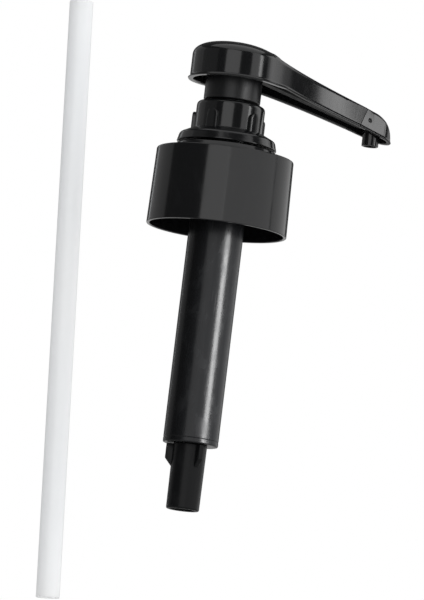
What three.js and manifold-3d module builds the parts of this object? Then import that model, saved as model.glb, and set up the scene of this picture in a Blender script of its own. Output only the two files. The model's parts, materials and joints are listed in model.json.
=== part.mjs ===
// Condiment pump dispenser: a piston pump that hangs from a screw closure, with a swivelling
// spout head above it, a finned foot valve below it and a loose dip tube beside it.
//
// Millimetres, +Z up along the pump's axis, +X along the spout.
// Z = 0 is the underside of the neck gasket, where the rim of the jar bears.
// The head is down and locked, as the pump is shipped.
import * as THREE from 'three';
import Module from 'manifold-3d';
import { mergeVertices } from 'three/addons/utils/BufferGeometryUtils.js';

const wasm = await Module();
wasm.setup();

// ---------------------------------------------------------------- driving dimensions

const STROKE = 58; // piston travel; with the bore it gives about 29 ml a stroke
const RUNNING_GAP = 0.15; // radial, between pieces that slide or turn in one another
const SEATED_GAP = 0.1; // between pieces that touch
const OVERCUT = 1; // how far a cutting solid runs past what it cuts

const COARSE = 20; // sides of a small turned piece
const ROUND = 32; // sides of a large one
const THREAD_SIDES = 6; // sides of a thread's ridge
const BALL_SIDES = 14; // sides of a ball at its equator

const BARREL = {
  radius: 14.55, bore: 12.6, bottomZ: -148.9, topZ: 27.4, web: 2, webHole: 8.1, edge: 1.2,
  flangeRadius: 33, flangeZ: 1.5, flangeThickness: 1.8, ventRadius: 0.8, ventZ: -9, ventSides: 8,
};
const GASKET = { inner: 26, outer: 33.2, thickness: 1.4 };
const CLOSURE = {
  bottomZ: -34.8, bottomRadius: 37.1, shoulderZ: 5, shoulderRadius: 36.25, wall: 1.7,
  edge: 0.6, landFoot: 27.8, landRadius: 26.2, landZ: 9, footZ: 5.9, hole: 15.6, topWall: 2.1,
  ledgeZ: 3.5, threadPitch: 4.23, threadTurns: 1.3, threadZ: -11.5, threadRidge: 0.9, threadSteps: 32,
};
const COLLAR = {
  bottomZ: 10.1, discRadius: 26.5, discTopRadius: 25.3, discTopZ: 14.8, bevel: 0.5,
  wallZ: 17.8, radius: 18.1, topZ: 32.8, shoulder: 2.6, hole: 12.2, webZ: 29.3,
  ribs: 5, ribWidth: 6.2, ribTopZ: 27.2, ribRadius: 19.9, ribRoot: 1.5, firstRib: -2,
};
const GUIDE = {
  bottomZ: 20, topZ: 29.2, radius: 12.45, flangeRadius: 14, grooveZ: 22.9, grooveTop: 25.5, groove: 7.7,
  wiperLip: 0.6, wiperLand: 0.8,
};
const STEM = {
  radius: 5, bore: 2.8, bottomZ: -110, topZ: 46.5, grooveZ: 41.4, grooveWidth: 1.9, groove: 4.1,
  seatGap: 0.3,
};
const BOSS = {
  radius: 15, wall: 1.8, bottomZ: 33.8, edge: 0.5, floor: 2.2, topZ: 58.8, sleeve: 7.2,
  stubRadius: 11.2, stubZ: 29.6, threadZ: 30.5, threadRidge: 0.65, threadPitch: 1.7, threadTurns: 1.2,
  threadSteps: 24, portZ: 50.4, portRadius: 2.2, ductWall: 1.4,
};
const HEAD = {
  radius: 23.6, lip: 24.6, lipFace: 0.5, lipHeight: 1.3, rimZ: 44.2, edgeZ: 57.2, crown: 8, crownPower: 2.3,
  wall: 2, plugRadius: 5.05, plugZ: 56.2,
};
const ARM = {
  startX: 5, seamX: 73.2, seamLean: 0.35, rootAngle: 62, settledHalf: 7, wall: 1.8, roof: 2.1,
  slope: 0.212, topZ: 58.8, topX: 19.5, topSlope: 0.2455, blankLow: 20, blankHigh: 70, blankHalf: 30,
};
const NOZZLE = {
  gap: 0.3, noseX: 96.5, half: 7.2, wall: 2.4, topX: 82,
  fallReach: 7.5, fallLift: 0.2, noseBack: 2.2, noseDrop: 3.2, tipDrop: 0.6,
  outletX: 85.15, outletRadius: 4.5, outletBore: 3.3, outletZ: 25.4,
  tongue: 5, tongueGrip: 3, tongueWall: 0.9, tongueHeight: 5, tongueRise: 4.5,
  dimpleX: 79.4, dimpleRise: 5.8, dimpleRadius: 0.8, dimpleDepth: 0.7,
};
const CHANNEL = { startX: 15.4, width: 7.4, height: 6, rise: 1.7, bore: 2.1, corner: 1.2, endGap: 0.4 };
const PISTON = {
  bottomZ: -124, flangeRadius: 12.3, flange: 2.4, carrier: 9, carrierTop: -113, hub: 7.4, topZ: -104,
  inlet: 2.4, seatZ: -119.3, chamber: 3.9, retainerHeight: 3.2, retainerInset: 0.5, retainerBevel: 0.6,
};
const OUTLET_BALL = { radius: 3.2, centreZ: -117.05 };
const INLET_BALL = { radius: 4.2, centreZ: -148.5 };
const CAGE = {
  bottomZ: -146.8, radius: 12.3, base: 2.6, dome: 8.3, chamber: 5.6, ceilingZ: -140.5, roof: 1.7,
  slots: 3, slot: 2.4, slotStart: 1.5,
};
const SEAL = { lipBevel: 0.4, lip: 0.8, lipTop: 1.8, waistDepth: 0.8, waist: 2.8, height: 6.4 };
const SPRING = { wire: 0.65, wireSides: 4, coilRadius: 10.2, turns: 9, stepsPerTurn: 12 };
const TAIL = {
  topZ: -147, shoulderZ: -149.1, stubRadius: 7.9, radius: 8.95, endRadius: 8.7, bottomZ: -183.4, edge: 1.1,
  socket: 6.5, socketZ: -158, seatZ: -150.8, passage: 3.6, chamber: 5.4,
  groove: 7.3, grooveZ: -148.7, grooveTop: -147.6,
  fins: 3, finRadius: 12.4, finThickness: 2.6, finZ: -157, finToeZ: -161.2, firstFin: 33,
};
// The dip tube stands beside the pump, clear of the spout's sweep, leaning a little.
const DIP_TUBE = {
  radius: 6.35, bore: 4.75, length: 323, foot: [-26.7, 92.3, -232], lean: 3.8, leanHeading: 153,
};

const BLACK = { color: 0x17181a, metalness: 0 };
const GLOSS = { ...BLACK, roughness: 0.22 };
const SATIN = { ...BLACK, roughness: 0.42 };
const NATURAL = { color: 0xe4e6e4, roughness: 0.45, metalness: 0 };
const SILICONE = { color: 0xb9bbb4, roughness: 0.6, metalness: 0 };
const STEEL = { color: 0xb8babd, roughness: 0.25, metalness: 1 };

// ---------------------------------------------------------------- geometry helpers

const radians = THREE.MathUtils.degToRad;

/** A solid of revolution about Z. profile lists [radius, height] counter-clockwise. */
function turned(profile, sides = ROUND) {
  const onAxis = profile[0][0] === 0 && profile.at(-1)[0] === 0;
  const outline = onAxis ? profile : [...profile, profile[0]];
  const points = outline.map(([r, z]) => new THREE.Vector2(r, z));
  return new THREE.LatheGeometry(points, sides).rotateX(Math.PI / 2);
}

/** Points of a quarter-round from angle `from` to `to` in degrees, about [r, z]. */
function rounded([r, z], radius, from, to, steps = 3) {
  return Array.from({ length: steps + 1 }, (_, i) => {
    const a = radians(from + ((to - from) * i) / steps);
    return [r + radius * Math.cos(a), z + radius * Math.sin(a)];
  });
}

function shapeOf(points) {
  return new THREE.Shape(points.map(([x, y]) => new THREE.Vector2(x, y)));
}

/** A plan outline in XY, made solid from z0 to z1. */
function raised(points, z0, z1) {
  const settings = { depth: z1 - z0, bevelEnabled: false };
  return new THREE.ExtrudeGeometry(shapeOf(points), settings).translate(0, 0, z0);
}

/** A side outline in XZ, made solid from -half to +half in Y. */
function sided(points, half) {
  const settings = { depth: 2 * half, bevelEnabled: false };
  return new THREE.ExtrudeGeometry(shapeOf(points), settings).rotateX(Math.PI / 2).translate(0, half, 0);
}

/** A round bar of the given radius along a curve. */
function barAlong(curve, radius, sides, steps) {
  const section = new THREE.Shape().absarc(0, 0, radius, 0, 2 * Math.PI);
  section.autoClose = true;
  const settings = { steps, curveSegments: sides / 2, bevelEnabled: false, extrudePath: curve };
  return new THREE.ExtrudeGeometry(section, settings);
}

class Helix extends THREE.Curve {
  constructor(radius, z0, z1, turns) {
    super();
    Object.assign(this, { radius, z0, z1, turns });
  }

  getPoint(t, target = new THREE.Vector3()) {
    const a = 2 * Math.PI * this.turns * t;
    const z = this.z0 + (this.z1 - this.z0) * t;
    return target.set(this.radius * Math.cos(a), this.radius * Math.sin(a), z);
  }
}

function solidOf(geometry) {
  const loose = geometry.index ? geometry.toNonIndexed() : geometry;
  const bare = new THREE.BufferGeometry().setAttribute('position', loose.getAttribute('position'));
  const merged = mergeVertices(bare, 1e-3);
  return new wasm.Manifold(new wasm.Mesh({
    numProp: 3,
    vertProperties: merged.attributes.position.array,
    triVerts: new Uint32Array(merged.index.array),
  }));
}

function geometryOf(solid) {
  const mesh = solid.getMesh();
  const geometry = new THREE.BufferGeometry();
  geometry.setAttribute('position', new THREE.BufferAttribute(mesh.vertProperties, 3));
  geometry.setIndex(new THREE.BufferAttribute(mesh.triVerts, 1));
  return geometry;
}

const combined = (operation) => (first, ...rest) => geometryOf(
  rest.reduce((solid, geometry) => solid[operation](solidOf(geometry)), solidOf(first)),
);
const joined = combined('add');
const cut = combined('subtract');
const common = combined('intersect');

/** A cylinder of the given radius along X, from x0 to x1, at height z. */
function crossBar(radius, x0, x1, z, sides = 16) {
  return new THREE.CylinderGeometry(radius, radius, x1 - x0, sides)
    .rotateZ(Math.PI / 2)
    .translate((x0 + x1) / 2, 0, z);
}

/** The same geometry turned about Z to each of `count` evenly spaced headings. */
function aroundAxis(geometry, count, firstDegrees) {
  return Array.from({ length: count }, (_, i) => (
    geometry.clone().rotateZ(radians(firstDegrees + (360 / count) * i))
  ));
}

// ---------------------------------------------------------------- neck and closure

function neckGasket() {
  const { inner, outer, thickness } = GASKET;
  return turned([[inner, 0], [outer, 0], [outer, thickness], [inner, thickness]]);
}

/** Smooth drafted skirt under a nearly flat top with a raised land, with a jar thread inside. */
function screwClosure() {
  const c = CLOSURE;
  const innerTop = c.shoulderRadius - c.wall;
  const innerBottom = c.bottomRadius - c.wall;
  const shell = turned([
    [innerBottom, c.bottomZ],
    [c.bottomRadius, c.bottomZ],
    ...rounded([c.shoulderRadius - c.edge, c.shoulderZ], c.edge, 0, 90),
    [c.landFoot, c.footZ],
    [c.landRadius, c.landZ],
    [c.hole, c.landZ],
    [c.hole, c.landZ - c.topWall],
    [c.landRadius - c.topWall, c.landZ - c.topWall],
    [c.landFoot - c.topWall, c.ledgeZ],
    [innerTop, c.ledgeZ],
  ]);
  const rise = c.threadPitch * c.threadTurns;
  const wallAtThread = THREE.MathUtils.mapLinear(c.threadZ, c.bottomZ, c.ledgeZ, innerBottom, innerTop);
  const path = new Helix(wallAtThread, c.threadZ, c.threadZ + rise, c.threadTurns);
  return joined(shell, barAlong(path, c.threadRidge, THREAD_SIDES, c.threadSteps));
}

/** Ribbed collar on a flared disc; it holds the closure to the barrel's flange. */
function lockCollar() {
  const c = COLLAR;
  const body = turned([
    [BARREL.radius + SEATED_GAP, c.bottomZ],
    [c.discRadius - c.bevel, c.bottomZ],
    [c.discRadius, c.bottomZ + c.bevel],
    [c.discTopRadius, c.discTopZ - c.bevel],
    [c.discTopRadius - 2 * c.bevel, c.discTopZ],
    [c.ribRadius, c.wallZ],
    [c.radius, c.wallZ],
    ...rounded([c.radius - c.shoulder, c.topZ - c.shoulder], c.shoulder, 0, 90),
    [c.hole, c.topZ],
    [c.hole, c.webZ],
    [BARREL.radius + SEATED_GAP, c.webZ],
  ]);
  const half = c.ribWidth / 2;
  const archZ = c.ribTopZ - half;
  const arch = new THREE.Shape();
  arch.moveTo(-half, c.wallZ - c.bevel);
  arch.lineTo(half, c.wallZ - c.bevel);
  arch.lineTo(half, archZ);
  arch.absarc(0, archZ, half, 0, Math.PI, false);
  const depth = c.ribRadius - c.radius + c.ribRoot;
  const slab = new THREE.ExtrudeGeometry(arch, { depth, bevelEnabled: false, curveSegments: 8 })
    .rotateX(Math.PI / 2)
    .rotateZ(Math.PI / 2)
    .translate(c.ribRadius - depth, 0, 0);
  const envelope = new THREE.CylinderGeometry(c.ribRadius, c.ribRadius, c.topZ, ROUND)
    .rotateX(Math.PI / 2)
    .translate(0, 0, c.topZ / 2);
  const rib = common(slab, envelope);
  return joined(body, ...aroundAxis(rib, c.ribs, c.firstRib));
}

// ---------------------------------------------------------------- barrel and what it holds

function barrel() {
  const b = BARREL;
  const flangeTop = b.flangeZ + b.flangeThickness;
  const body = turned([
    [b.webHole, b.bottomZ],
    ...rounded([b.radius - b.edge, b.bottomZ + b.edge], b.edge, -90, 0),
    [b.radius, b.flangeZ],
    [b.flangeRadius, b.flangeZ],
    [b.flangeRadius, flangeTop],
    [b.radius, flangeTop],
    [b.radius, b.topZ],
    [b.bore, b.topZ],
    [b.bore, b.bottomZ + b.web],
    [b.webHole, b.bottomZ + b.web],
  ]);
  return cut(body, crossBar(b.ventRadius, 0, b.radius + OVERCUT, b.ventZ, b.ventSides));
}

/** Bush that closes the barrel's mouth and carries the stem and its wiper. */
function stemGuide() {
  const g = GUIDE;
  const bore = STEM.radius + RUNNING_GAP;
  return turned([
    [bore, g.bottomZ],
    [g.radius, g.bottomZ],
    [g.radius, BARREL.topZ],
    [g.flangeRadius, BARREL.topZ],
    [g.flangeRadius, g.topZ],
    [bore, g.topZ],
    [bore, g.grooveTop],
    [g.groove, g.grooveTop],
    [g.groove, g.grooveZ],
    [bore, g.grooveZ],
  ], COARSE);
}

function stemWiper() {
  const { grooveZ, grooveTop, groove, wiperLip, wiperLand } = GUIDE;
  const lip = STEM.radius + SEATED_GAP;
  return turned([
    [lip + wiperLip, grooveZ + SEATED_GAP],
    [groove - SEATED_GAP, grooveZ + SEATED_GAP],
    [groove - SEATED_GAP, grooveTop - SEATED_GAP],
    [lip, grooveTop - SEATED_GAP],
    [lip, grooveTop - wiperLand],
  ], COARSE);
}

/** Spring seat with a slotted dome that keeps the inlet ball over its seat. */
function inletBallCage() {
  const c = CAGE;
  const top = c.ceilingZ + c.roof;
  const body = turned([
    [c.chamber, c.bottomZ],
    [c.radius, c.bottomZ],
    [c.radius, c.bottomZ + c.base],
    [c.dome, c.bottomZ + c.base],
    [c.dome, top],
    [INLET_BALL.radius / 2, top],
    [INLET_BALL.radius / 2, c.ceilingZ],
    [c.chamber, c.ceilingZ],
  ], COARSE);
  const slotHeight = top - c.bottomZ - c.base;
  const slot = new THREE.BoxGeometry(c.dome, c.slot, slotHeight)
    .translate(c.dome / 2 + c.slotStart, 0, top + OVERCUT - slotHeight / 2);
  return cut(body, ...aroundAxis(slot, c.slots, 0));
}

/** Foot valve: ball seat above, dip tube socket below, three chamfered fins outside. */
function tailPiece() {
  const t = TAIL;
  const body = turned([
    [t.socket, t.bottomZ],
    ...rounded([t.endRadius - t.edge, t.bottomZ + t.edge], t.edge, -90, 0),
    [t.radius, t.shoulderZ],
    [t.stubRadius, t.shoulderZ],
    [t.stubRadius, t.grooveZ],
    [t.groove, t.grooveZ],
    [t.groove, t.grooveTop],
    [t.stubRadius, t.grooveTop],
    [t.stubRadius, t.topZ],
    [t.chamber, t.topZ],
    [t.chamber, t.seatZ + t.chamber - t.passage],
    [t.passage, t.seatZ],
    [t.passage, t.socketZ],
    [t.socket, t.socketZ],
  ], COARSE);
  const root = (t.socket + t.endRadius) / 2;
  const fin = sided([
    [root, t.shoulderZ],
    [root, t.finToeZ - (t.radius - root)],
    [t.finRadius, t.finZ],
    [t.finRadius, t.shoulderZ],
  ], t.finThickness / 2);
  return joined(body, ...aroundAxis(fin, t.fins, t.firstFin));
}

/** Ring of six-sided section in a groove, bevelled towards the wall it seals against. */
function sealRing(groove, outer, grooveZ, grooveTop) {
  const inner = groove + SEATED_GAP;
  const z0 = grooveZ + SEATED_GAP;
  const z1 = grooveTop - SEATED_GAP;
  const edge = (z1 - z0) / 4;
  return turned([
    [inner, z0],
    [outer - edge, z0],
    [outer, z0 + edge],
    [outer, z1 - edge],
    [outer - edge, z1],
    [inner, z1],
  ], COARSE);
}

function tailSeal() {
  return sealRing(TAIL.groove, BARREL.webHole - SEATED_GAP, TAIL.grooveZ, TAIL.grooveTop);
}

function stemSeal() {
  return sealRing(STEM.groove, STEM.radius + SEATED_GAP, STEM.grooveZ, STEM.grooveZ + STEM.grooveWidth);
}

function ball({ radius, centreZ }) {
  return new THREE.SphereGeometry(radius, BALL_SIDES, BALL_SIDES / 2)
    .rotateX(Math.PI / 2)
    .translate(0, 0, centreZ);
}

// ---------------------------------------------------------------- piston

function pistonBody() {
  const p = PISTON;
  const bore = STEM.radius + RUNNING_GAP;
  const ledge = STEM.bottomZ - STEM.seatGap;
  return turned([
    [p.inlet, p.bottomZ],
    [p.flangeRadius, p.bottomZ],
    [p.flangeRadius, p.bottomZ + p.flange],
    [p.carrier, p.bottomZ + p.flange],
    [p.carrier, p.carrierTop],
    [p.hub, p.carrierTop],
    [p.hub, p.topZ],
    [bore, p.topZ],
    [bore, ledge],
    [p.chamber, ledge],
    [p.chamber, p.seatZ + p.chamber - p.inlet],
    [p.inlet, p.seatZ],
  ], COARSE);
}

/** Double-lipped cup that wipes the barrel's bore. */
function pistonSeal() {
  const inner = PISTON.carrier + SEATED_GAP;
  const lip = BARREL.bore - RUNNING_GAP;
  const waist = lip - SEAL.waistDepth;
  const z0 = PISTON.bottomZ + PISTON.flange + SEATED_GAP;
  return turned([
    [inner, z0],
    [lip - SEAL.lipBevel, z0],
    [lip, z0 + SEAL.lip],
    [lip, z0 + SEAL.lipTop],
    [waist, z0 + SEAL.waist],
    [waist, z0 + SEAL.height - SEAL.waist],
    [lip, z0 + SEAL.height - SEAL.lipTop],
    [lip, z0 + SEAL.height - SEAL.lip],
    [lip - SEAL.lipBevel, z0 + SEAL.height],
    [inner, z0 + SEAL.height],
  ], ROUND);
}

/** Ring that presses over the hub and clamps the cup. */
function pistonRetainer() {
  const p = PISTON;
  const skirtZ = p.bottomZ + p.flange + SEAL.height + 2 * SEATED_GAP;
  const outer = p.flangeRadius - p.retainerInset;
  const top = p.carrierTop + p.retainerHeight;
  return turned([
    [p.hub + SEATED_GAP, p.carrierTop + SEATED_GAP],
    [p.carrier + SEATED_GAP, p.carrierTop + SEATED_GAP],
    [p.carrier + SEATED_GAP, skirtZ],
    [outer, skirtZ],
    [outer, top - p.retainerBevel],
    [outer - p.retainerBevel, top],
    [p.hub + SEATED_GAP, top],
  ], COARSE);
}

/** Loose sleeve on the stem: it meets the guide and so sets the stroke. */
function strokeSleeve() {
  const bottom = PISTON.topZ + SEATED_GAP;
  const top = GUIDE.bottomZ - STROKE - 2 * SEATED_GAP;
  const inner = STEM.radius + RUNNING_GAP;
  return turned([[inner, bottom], [PISTON.hub, bottom], [PISTON.hub, top], [inner, top]], COARSE);
}

/** Compressed to its length with the head locked down. */
function returnSpring() {
  const clear = SPRING.wire + SEATED_GAP;
  const lowZ = CAGE.bottomZ + CAGE.base + clear;
  const highZ = PISTON.bottomZ - clear;
  const path = new Helix(SPRING.coilRadius, lowZ, highZ, SPRING.turns);
  return barAlong(path, SPRING.wire, SPRING.wireSides, SPRING.turns * SPRING.stepsPerTurn);
}

// ---------------------------------------------------------------- head

function stem() {
  const s = STEM;
  return turned([
    [s.bore, s.bottomZ],
    [s.radius, s.bottomZ],
    [s.radius, s.grooveZ],
    [s.groove, s.grooveZ],
    [s.groove, s.grooveZ + s.grooveWidth],
    [s.radius, s.grooveZ + s.grooveWidth],
    [s.radius, s.topZ],
    [s.bore, s.topZ],
  ], COARSE);
}

/** Satin sleeve under the head, with the lock thread's stub and the stem socket. */
function headBoss() {
  const b = BOSS;
  const socket = STEM.radius + RUNNING_GAP;
  const body = turned([
    [socket, b.stubZ],
    [b.stubRadius, b.stubZ],
    [b.stubRadius, b.bottomZ],
    [b.radius - b.edge, b.bottomZ],
    [b.radius, b.bottomZ + b.edge],
    [b.radius, b.topZ],
    [b.radius - b.wall, b.topZ],
    [b.radius - b.wall, b.bottomZ + b.floor],
    [b.sleeve, b.bottomZ + b.floor],
    [b.sleeve, b.topZ],
    [socket, b.topZ],
  ]);
  const path = new Helix(b.stubRadius, b.threadZ, b.threadZ + b.threadPitch * b.threadTurns, b.threadTurns);
  const thread = barAlong(path, b.threadRidge, THREAD_SIDES, b.threadSteps);
  const duct = crossBar(b.portRadius + b.ductWall, b.sleeve - OVERCUT, b.radius - OVERCUT, b.portZ);
  const port = crossBar(b.portRadius, STEM.radius - OVERCUT, b.radius + OVERCUT, b.portZ);
  return cut(joined(body, thread, duct), port);
}

/** Height of the head's domed top at a radius, less a wall: half of a squarish ellipse. */
function crownZ(r, wall = 0) {
  return HEAD.edgeZ - wall + HEAD.crown * Math.sqrt(1 - (r / HEAD.radius) ** HEAD.crownPower);
}

/** Points of the dome from a radius in to its middle, closest together where it is steepest. */
function crownPoints(outerRadius, wall, steps) {
  return Array.from({ length: steps + 1 }, (_, i) => {
    const r = outerRadius * Math.cos((Math.PI / 2) * (i / steps));
    return i === steps ? [0, crownZ(0, wall)] : [r, crownZ(r, wall)];
  });
}

/** Half the arm's width: its sides leave the disc on a tangent and settle towards parallel. */
function armHalf(x) {
  const root = radians(ARM.rootAngle);
  const spread = HEAD.radius * Math.sin(root) - ARM.settledHalf;
  const length = spread * Math.tan(root);
  return ARM.settledHalf + spread * Math.exp(-(x - HEAD.radius * Math.cos(root)) / length);
}

const armUnderZ = (x) => HEAD.rimZ - ARM.slope * Math.max(0, x - HEAD.radius);
const armTopZ = (x) => ARM.topZ - ARM.topSlope * (x - ARM.topX);
/** Where the leaning seam, which starts at x on the arm's lower edge, meets its top. */
const seamTopX = (x) => x + ARM.seamLean * (armTopZ(x) - armUnderZ(x));

/** Plan of the arm from the disc's tangent to x1, inset by a wall. */
function armPlan(x1, inset, steps = 9) {
  const x0 = HEAD.radius * Math.cos(radians(ARM.rootAngle));
  const stations = Array.from({ length: steps + 1 }, (_, i) => x0 + (x1 - x0) * (i / steps) ** 1.3);
  const right = stations.map((x) => [x, inset - armHalf(x)]);
  const left = stations.toReversed().map((x) => [x, armHalf(x) - inset]);
  return [...right, ...left];
}

/** One-piece palm disc and drooping arm, hollow and open below. */
function actuatorHead() {
  const h = HEAD;
  const disc = turned([
    [0, h.rimZ],
    [h.lip, h.rimZ],
    [h.lip, h.rimZ + h.lipFace],
    [h.radius, h.rimZ + h.lipHeight],
    ...crownPoints(h.radius, 0, 8),
  ]);
  const a = ARM;
  const end = a.seamX;
  const top = seamTopX(end);
  const arm = common(
    raised(armPlan(top, 0), a.blankLow, a.blankHigh),
    sided([
      [a.startX, h.rimZ],
      [h.radius, h.rimZ],
      [end, armUnderZ(end)],
      [top, armTopZ(top)],
      [a.startX, armTopZ(a.startX)],
    ], a.blankHalf),
  );
  const below = h.rimZ - 5 * OVERCUT;
  const discHollow = turned([
    [0, below],
    [h.radius - h.wall, below],
    [h.radius - h.wall, h.edgeZ],
    ...crownPoints(h.radius - 1.5 * h.wall, a.roof, 5),
  ]);
  const past = top + OVERCUT;
  const armHollow = common(
    raised(armPlan(past, a.wall), a.blankLow, a.blankHigh),
    sided([
      [a.startX, a.blankLow],
      [past, a.blankLow],
      [past, armTopZ(past) - a.roof],
      [a.startX, armTopZ(a.startX) - a.roof],
    ], a.blankHalf),
  );
  const plugTop = crownZ(0, h.wall / 2);
  const plug = turned([[0, h.plugZ], [h.plugRadius, h.plugZ], [h.plugRadius, plugTop], [0, plugTop]], COARSE);
  return joined(cut(joined(disc, arm), discHollow, armHollow), plug);
}

/** Duct under the arm, from the boss to the nozzle. */
function spoutChannel() {
  const c = CHANNEL;
  const angle = Math.atan(ARM.slope);
  const endX = NOZZLE.outletX - NOZZLE.outletRadius - c.height * Math.sin(angle) - c.endGap;
  const half = c.width / 2;
  const outline = [
    ...rounded([half - c.corner, c.corner], c.corner, -90, 0),
    ...rounded([half - c.corner, c.height - c.corner], c.corner, 0, 90),
    ...rounded([c.corner - half, c.height - c.corner], c.corner, 90, 180),
    ...rounded([c.corner - half, c.corner], c.corner, 180, 270),
  ];
  const section = shapeOf(outline);
  section.holes.push(new THREE.Path().absarc(0, c.height / 2, c.bore, 0, 2 * Math.PI, true));
  const length = (endX - c.startX) / Math.cos(angle);
  const startZ = HEAD.rimZ - ARM.slope * (c.startX - HEAD.radius) + c.rise;
  return new THREE.ExtrudeGeometry(section, { depth: length, bevelEnabled: false, curveSegments: 6 })
    .rotateX(Math.PI / 2)
    .rotateZ(Math.PI / 2)
    .rotateY(angle)
    .translate(c.startX, 0, startZ);
}

/** Plan of the nozzle: straight sides and a round nose. */
function nozzlePlan(x0, inset) {
  const n = NOZZLE;
  const centre = n.noseX - n.half;
  const side = armHalf(x0) - inset;
  return [[x0, -side], ...rounded([centre, 0], n.half - inset, -90, 90, 10), [x0, side]];
}

/** Side outline of the nozzle, its top falling away in one curve to the nose. */
function nozzleSide(x0, wall) {
  const n = NOZZLE;
  const seamTop = seamTopX(x0);
  const fall = nozzleFall(n.topX, wall).toReversed();
  return [[x0, armUnderZ(x0)], ...fall, [seamTop, armTopZ(seamTop) - wall]];
}

/** The falling curve, from x on the arm's top line down to the tip of the nose. */
function nozzleFall(x, wall) {
  const n = NOZZLE;
  return new THREE.CubicBezierCurve(
    new THREE.Vector2(x, armTopZ(x) - wall),
    new THREE.Vector2(x + n.fallReach, armTopZ(x + n.fallReach) - wall + n.fallLift),
    new THREE.Vector2(n.noseX - wall - n.noseBack, armTopZ(n.noseX) - wall - n.noseDrop),
    new THREE.Vector2(n.noseX - wall, armUnderZ(n.noseX) - n.tipDrop),
  ).getPoints(7).map((point) => [point.x, point.y]);
}

/** Snapped-on end of the spout, with the outlet tube inside it. */
function nozzleTip() {
  const n = NOZZLE;
  const x0 = ARM.seamX + n.gap;
  const lowZ = ARM.blankLow - OVERCUT;
  const highZ = ARM.blankHigh;
  const outer = common(raised(nozzlePlan(x0, 0), lowZ, highZ), sided(nozzleSide(x0, 0), ARM.blankHalf));
  const inX = x0 - 3 * OVERCUT;
  const inside = [
    [inX, lowZ],
    [n.noseX - n.wall, lowZ],
    ...nozzleFall(n.topX, n.wall).toReversed(),
    [inX, armTopZ(x0) - n.wall],
  ];
  const hollow = common(raised(nozzlePlan(inX, n.wall), lowZ, highZ), sided(inside, ARM.blankHalf));
  const roofZ = armTopZ(n.outletX) - n.wall / 2;
  const boreTop = roofZ - n.wall;
  const upright = (radius, z0, z1) => (
    turned([[0, z0], [radius, z0], [radius, z1], [0, z1]], COARSE).translate(n.outletX, 0, 0)
  );
  const tube = upright(n.outletRadius, n.outletZ, roofZ);
  const bore = upright(n.outletBore, lowZ, boreTop);
  const inletX = n.outletX - n.outletRadius;
  const inletZ = HEAD.rimZ - ARM.slope * (inletX - HEAD.radius) + CHANNEL.rise + CHANNEL.height / 2;
  const inlet = crossBar(CHANNEL.bore, inletX - OVERCUT, n.outletX, inletZ);
  const reach = n.tongue + n.tongueGrip;
  const tongueY = armHalf(ARM.seamX) - ARM.wall - n.gap - n.tongueWall / 2;
  const tongue = new THREE.BoxGeometry(reach, n.tongueWall, n.tongueHeight)
    .translate(ARM.seamX - n.tongue + reach / 2, 0, armUnderZ(ARM.seamX) + n.tongueRise);
  const dimple = new THREE.CylinderGeometry(n.dimpleRadius, n.dimpleRadius, 2 * n.dimpleDepth, 10)
    .translate(n.dimpleX, 0, armUnderZ(n.dimpleX) + n.dimpleRise);
  const bothSides = (geometry, y) => [-y, y].map((offset) => geometry.clone().translate(0, offset, 0));
  const shell = joined(cut(outer, hollow), tube, ...bothSides(tongue, tongueY));
  return cut(shell, bore, inlet, ...bothSides(dimple, armHalf(n.dimpleX)));
}

// ---------------------------------------------------------------- loose dip tube

function dipTube() {
  const { radius, bore, length } = DIP_TUBE;
  return turned([[bore, 0], [radius, 0], [radius, length], [bore, length]], COARSE);
}

// ---------------------------------------------------------------- assembly

function piece(name, geometry, finish) {
  const mesh = new THREE.Mesh(geometry, new THREE.MeshStandardMaterial(finish));
  mesh.name = name;
  return mesh;
}

function group(...children) {
  return new THREE.Group().add(...children);
}

const pumpBody = group(
  piece('barrel', barrel(), GLOSS),
  piece('neck_gasket', neckGasket(), SILICONE),
  piece('lock_collar', lockCollar(), GLOSS),
  piece('stem_guide', stemGuide(), NATURAL),
  piece('stem_wiper', stemWiper(), SILICONE),
  piece('inlet_ball_cage', inletBallCage(), NATURAL),
  piece('tail_piece', tailPiece(), GLOSS),
  piece('tail_seal', tailSeal(), SILICONE),
);

const piston = group(
  piece('piston_body', pistonBody(), NATURAL),
  piece('piston_seal', pistonSeal(), SILICONE),
  piece('piston_retainer', pistonRetainer(), NATURAL),
  piece('stroke_sleeve', strokeSleeve(), NATURAL),
  piece('return_spring', returnSpring(), STEEL),
);

const head = group(
  piece('actuator_head', actuatorHead(), GLOSS),
  piece('head_boss', headBoss(), SATIN),
  piece('spout_channel', spoutChannel(), GLOSS),
  piece('nozzle_tip', nozzleTip(), GLOSS),
  piece('stem', stem(), NATURAL),
  piece('stem_seal', stemSeal(), SILICONE),
);

const looseTube = piece('dip_tube', dipTube(), NATURAL);
looseTube.position.set(...DIP_TUBE.foot);
const up = new THREE.Vector3(0, 0, 1);
const leanTowards = new THREE.Vector3(1, 0, 0).applyAxisAngle(up, radians(DIP_TUBE.leanHeading));
const leanAxis = up.clone().cross(leanTowards);
looseTube.quaternion.setFromAxisAngle(leanAxis, radians(DIP_TUBE.lean));

const pump = group(
  pumpBody,
  piece('screw_closure', screwClosure(), GLOSS),
  piston,
  piece('outlet_ball', ball(OUTLET_BALL), STEEL),
  piece('inlet_ball', ball(INLET_BALL), STEEL),
  head,
  looseTube,
);

export default pump;
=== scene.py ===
"""The finished look of the condiment pump dispenser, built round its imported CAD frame.

Sizes inside the classes are millimetres and are carried to metres when a mesh is made. The frame
is the CAD's: +Z up the pump's axis, +X along the spout, z = 0 under the neck gasket.
"""
import json
import logging
import math
from dataclasses import dataclass
from enum import Enum
from typing import Callable, Sequence

import bmesh
import bpy
import numpy as np
from mathutils import Matrix, Vector

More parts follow.
